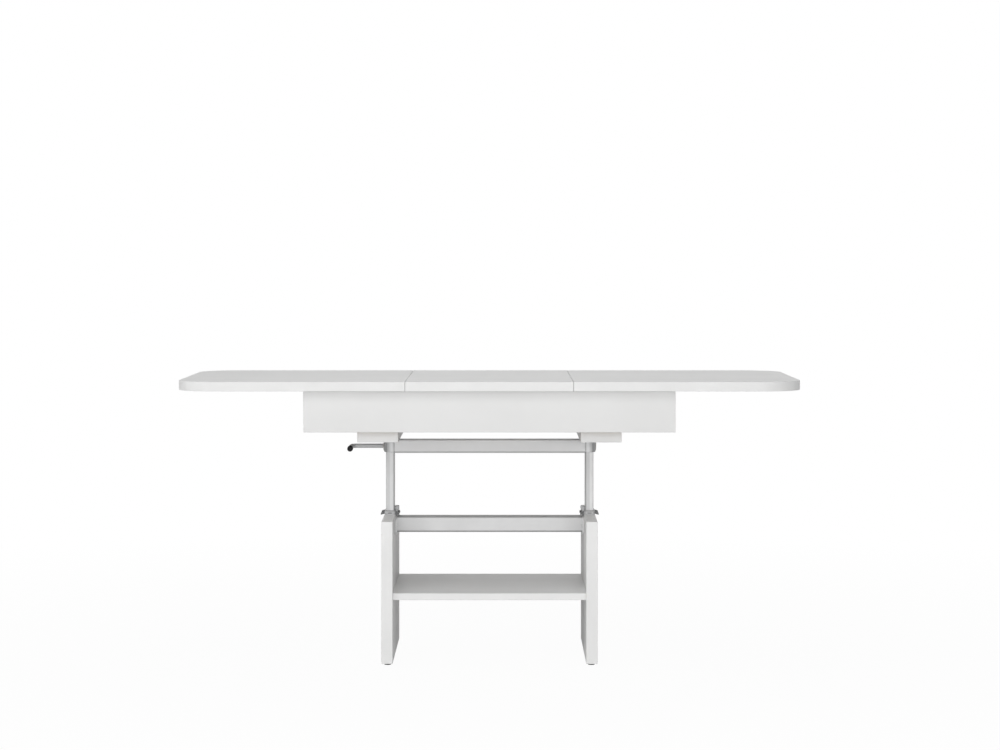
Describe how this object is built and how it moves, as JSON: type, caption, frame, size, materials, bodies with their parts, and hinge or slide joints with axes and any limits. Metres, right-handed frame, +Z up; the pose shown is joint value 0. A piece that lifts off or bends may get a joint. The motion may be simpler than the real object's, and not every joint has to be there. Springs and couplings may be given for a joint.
{
  "type": "extending coffee table",
  "caption": "Extending coffee table with sliding leaves and a loose insert leaf over an apron box, panel legs with a shelf, and a crank that raises it on spindle columns.",
  "frame": {"origin": "on the floor under the middle of the table", "axes": "+Z up, +X along the top, the user with the crank stands on the -Y side"},
  "size_m": [1.64, 0.7, 0.76],
  "materials": {
    "top_lacquer": "white satin lacquer on board",
    "board_lacquer": "white satin lacquer on board",
    "plain_beech": "plain planed beech",
    "bar_paint": "light grey powder coat",
    "column_paint": "light grey powder coat",
    "housing_cast": "mid grey coat on a casting",
    "plate_paint": "grey powder coat",
    "collar_plastic": "grey moulded plastic",
    "crank_steel": "plain drawn steel",
    "cap_plastic": "black moulded plastic",
    "drive_steel": "turned steel",
    "screw_steel": "zinc-plated steel",
    "nut_brass": "turned brass",
    "bush_nylon": "natural nylon",
    "track_aluminium": "drawn aluminium",
    "runner_aluminium": "drawn aluminium",
    "foot_plastic": "dark moulded plastic"
  },
  "bodies": {
    "base": {"leg_left": "board_lacquer", "leg_right": "board_lacquer", "shelf": "board_lacquer", "shelf_dowels": "plain_beech", "foot_glides": "foot_plastic", "lower_crossbar": "bar_paint", "crossbar_bracket_left": "plate_paint", "crossbar_bracket_right": "plate_paint", "bracket_screws": "screw_steel", "guide_collar_left": "collar_plastic", "guide_collar_right": "collar_plastic", "collar_screws": "screw_steel", "nut_tube_left": "drive_steel", "nut_tube_right": "drive_steel", "spindle_nuts": "nut_brass"},
    "lift": {"column_left": "column_paint", "column_right": "column_paint", "column_shoes": "bush_nylon", "upper_crossbar": "bar_paint", "gear_housing_left": "housing_cast", "gear_housing_right": "housing_cast", "mount_plate_left": "plate_paint", "mount_plate_right": "plate_paint", "plate_screws": "screw_steel", "batten_left": "board_lacquer", "batten_right": "board_lacquer", "batten_screws": "screw_steel", "apron_front": "board_lacquer", "apron_back": "board_lacquer", "apron_end_left": "board_lacquer", "apron_end_right": "board_lacquer", "apron_dowels": "plain_beech", "cleat_front": "plain_beech", "cleat_back": "plain_beech", "track_front": "track_aluminium", "track_back": "track_aluminium", "track_screws": "screw_steel", "track_pegs": "drive_steel", "shaft_bushes": "bush_nylon", "spindle_bushes": "bush_nylon"},
    "crank": {"crank_rod": "crank_steel", "crank_cap": "cap_plastic", "crank_pin": "drive_steel", "cross_shaft": "drive_steel", "pinion_left": "drive_steel", "pinion_right": "drive_steel"},
    "left_spindle": {"spindle_left": "drive_steel", "spindle_gear_left": "drive_steel"},
    "right_spindle": {"spindle_right": "drive_steel", "spindle_gear_right": "drive_steel"},
    "left_leaf": {"leaf_left": "top_lacquer", "runner_left_front": "runner_aluminium", "runner_left_back": "runner_aluminium", "runner_screws_left": "screw_steel"},
    "right_leaf": {"leaf_right": "top_lacquer", "runner_right_front": "runner_aluminium", "runner_right_back": "runner_aluminium", "runner_screws_right": "screw_steel"},
    "insert": {"insert_leaf": "top_lacquer"}
  },
  "joints": [
    {"name": "crank_turn", "type": "hinge", "parent": "lift", "child": "crank", "pos_m": [0, 0, 0.569], "axis": [1, 0, 0], "range_deg": [-10445, 0]},
    {"name": "lift_slide", "type": "slide", "parent": "base", "child": "lift", "axis": [0, 0, 1], "range_m": [-0.145, 0]},
    {"name": "left_spindle_turn", "type": "hinge", "parent": "lift", "child": "left_spindle", "pos_m": [-0.271, 0, 0.4], "axis": [0, 0, 1], "range_deg": [-10445, 0]},
    {"name": "right_spindle_turn", "type": "hinge", "parent": "lift", "child": "right_spindle", "pos_m": [0.271, 0, 0.4], "axis": [0, 0, 1], "range_deg": [-10445, 0]},
    {"name": "left_leaf_slide", "type": "slide", "parent": "lift", "child": "left_leaf", "axis": [-1, 0, 0], "range_m": [0, 0.03]},
    {"name": "right_leaf_slide", "type": "slide", "parent": "lift", "child": "right_leaf", "axis": [1, 0, 0], "range_m": [0, 0.03]},
    {"name": "insert_lift", "type": "slide", "parent": "lift", "child": "insert", "axis": [0, 0, 1], "range_m": [0, 0.12]}
  ],
  "couplings": [
    {"joint": "crank_turn", "follows": "lift_slide", "rad_per_m": 1256.6},
    {"joint": "left_spindle_turn", "follows": "lift_slide", "rad_per_m": 1256.6},
    {"joint": "right_spindle_turn", "follows": "lift_slide", "rad_per_m": 1256.6}
  ]
}
